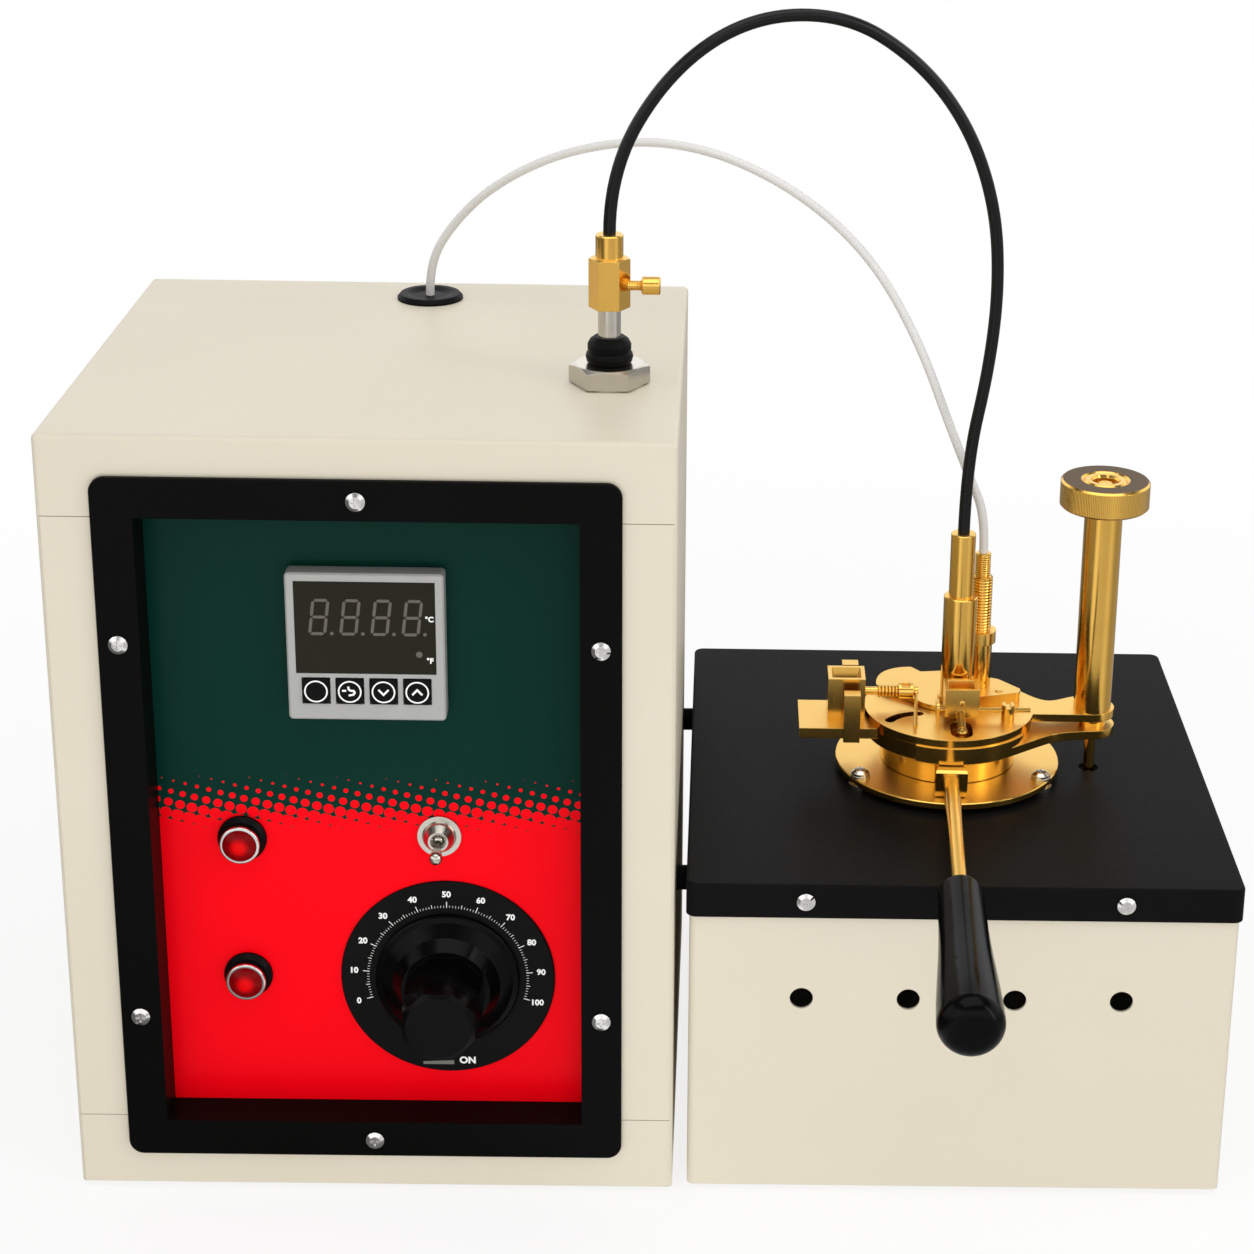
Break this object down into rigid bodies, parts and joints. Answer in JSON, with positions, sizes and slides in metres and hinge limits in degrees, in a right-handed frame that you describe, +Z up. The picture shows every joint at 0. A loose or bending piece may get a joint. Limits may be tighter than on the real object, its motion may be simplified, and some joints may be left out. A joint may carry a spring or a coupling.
{
  "type": "flash point tester",
  "caption": "Closed-cup flash point tester: control cabinet with dial and controller beside a heater box that holds a brass cup, lid with shutter, tilting burner and stirrer.",
  "frame": {"origin": "middle of the footprint on the bench, under the feet", "axes": "+X to the user's right, +Y away from the user, +Z up; the control panel faces -Y"},
  "size_m": [0.5526, 0.4129, 0.559],
  "materials": {
    "cream_enamel": "smooth semi-gloss powder coat",
    "black_enamel": "satin black powder coat",
    "panel_print": "screen-printed panel, green above and red below",
    "black_plastic": "moulded satin black",
    "silver_plastic": "moulded light silver grey",
    "phenolic": "moulded glossy black",
    "display_pane": "tinted acrylic",
    "key_plastic": "satin key caps",
    "red_lens": "clear red dome",
    "bright_chrome": "bright plated",
    "steel": "turned steel",
    "cast_iron": "cast",
    "black_rubber": "matt rubber",
    "white_silicone": "translucent white sleeve",
    "brass": "machined and polished brass"
  },
  "bodies": {
    "housing": {"cabinet_cover": "cream_enamel", "cabinet_base": "cream_enamel", "front_fascia": "cream_enamel", "back_panel": "cream_enamel", "mains_inlet": "black_plastic", "rubber_feet": "black_rubber", "bezel_frame": "black_enamel", "control_panel": "panel_print", "panel_screws": "bright_chrome", "controller_case": "silver_plastic", "controller_window": "display_pane", "lamp_bodies": "black_plastic", "lamp_rims": "bright_chrome", "lamp_lenses": "red_lens", "toggle_switch": "bright_chrome", "dial_plate": "black_plastic", "regulator_body": "black_plastic", "cable_grommet": "black_rubber", "stirrer_motor": "steel", "gland_nut": "steel", "rubber_boot": "black_rubber", "steel_sleeve": "steel", "drive_coupling": "brass", "heater_body": "cream_enamel", "heater_cover": "black_enamel", "link_bolts": "black_enamel", "base_flange": "brass", "flange_screws": "steel", "air_bath": "cast_iron", "heater_band": "steel", "flexible_shaft": "black_rubber", "sensor_lead": "white_silicone"},
    "cup": {"test_cup": "brass", "handle_rod": "brass", "handle_grip": "phenolic"},
    "cover": {"cover_rim": "brass", "cover_plate": "brass", "column_tube": "brass", "carrier_plate": "brass", "stirrer_tube": "brass", "sensor_ferrule": "brass", "sensor_probe": "steel", "pilot_bar": "brass", "pilot_box": "brass", "pivot_post": "brass"},
    "spindle": {"spindle_knob": "brass", "spindle_rod": "brass"},
    "shutter": {"shutter_plate": "brass"},
    "burner": {"flame_box": "brass"},
    "stirrer": {"stirrer_shaft": "steel"},
    "motor": {"motor_shaft": "steel"},
    "dial": {"dial_knob": "phenolic", "dial_shaft": "steel"},
    "toggle": {"toggle_lever": "bright_chrome"},
    "thumbscrew": {"clamp_screw": "brass"},
    "pilot": {"pilot_shaft": "brass"},
    "key_1": {"controller_key_1": "key_plastic"},
    "key_2": {"controller_key_2": "key_plastic"},
    "key_3": {"controller_key_3": "key_plastic"},
    "key_4": {"controller_key_4": "key_plastic"}
  },
  "joints": [
    {"name": "cup_lift", "type": "slide", "parent": "housing", "child": "cup", "axis": [0, 0, 1], "range_m": [0, 0.08]},
    {"name": "cover_lift", "type": "slide", "parent": "cup", "child": "cover", "axis": [0, 0, 1], "range_m": [0, 0.075], "deforming": ["flexible_shaft", "sensor_lead"]},
    {"name": "knob_turn", "type": "hinge", "parent": "cover", "child": "spindle", "pos_m": [0.2182, 0.0535, 0.308], "axis": [0, 0, -1], "range_deg": [0, 50], "stiffness_Nm_per_rad": 0.05},
    {"name": "shutter_swing", "type": "hinge", "parent": "cover", "child": "shutter", "pos_m": [0.1492, 0.0555, 0.1995], "axis": [0, 0, 1], "range_deg": [0, 25]},
    {"name": "burner_tilt", "type": "hinge", "parent": "cover", "child": "burner", "pos_m": [0.1498, 0.0375, 0.2045], "axis": [1, 0, 0], "range_deg": [0, 20]},
    {"name": "motor_spin", "type": "hinge", "parent": "housing", "child": "motor", "pos_m": [-0.0256, 0.0085, 0.42], "axis": [0, 0, 1], "continuous": true},
    {"name": "stirrer_spin", "type": "hinge", "parent": "cover", "child": "stirrer", "pos_m": [0.1492, 0.0555, 0.1995], "axis": [0, 0, 1], "continuous": true},
    {"name": "dial_turn", "type": "hinge", "parent": "housing", "child": "dial", "pos_m": [-0.0993, -0.0635, 0.107], "axis": [0, 1, 0], "range_deg": [0, 286]},
    {"name": "toggle_throw", "type": "hinge", "parent": "housing", "child": "toggle", "pos_m": [-0.1021, -0.0675, 0.1816], "axis": [-1, 0, 0], "range_deg": [0, 24]},
    {"name": "clamp_turn", "type": "hinge", "parent": "housing", "child": "thumbscrew", "pos_m": [-0.0106, 0.0085, 0.4305], "axis": [1, 0, 0], "continuous": true},
    {"name": "pilot_lift", "type": "hinge", "parent": "cover", "child": "pilot", "pos_m": [0.1282, 0.0519, 0.2078], "axis": [-1, 0, 0], "range_deg": [0, 40], "stiffness_Nm_per_rad": 0.002},
    {"name": "key_1_press", "type": "slide", "parent": "housing", "child": "key_1", "axis": [0, 1, 0], "range_m": [0, 0.0006], "stiffness_N_per_m": 400},
    {"name": "key_2_press", "type": "slide", "parent": "housing", "child": "key_2", "axis": [0, 1, 0], "range_m": [0, 0.0006], "stiffness_N_per_m": 400},
    {"name": "key_3_press", "type": "slide", "parent": "housing", "child": "key_3", "axis": [0, 1, 0], "range_m": [0, 0.0006], "stiffness_N_per_m": 400},
    {"name": "key_4_press", "type": "slide", "parent": "housing", "child": "key_4", "axis": [0, 1, 0], "range_m": [0, 0.0006], "stiffness_N_per_m": 400}
  ],
  "couplings": [
    {"joint": "shutter_swing", "follows": "knob_turn", "ratio": 0.5},
    {"joint": "burner_tilt", "follows": "knob_turn", "ratio": 0.4},
    {"joint": "stirrer_spin", "follows": "motor_spin", "ratio": 1}
  ]
}
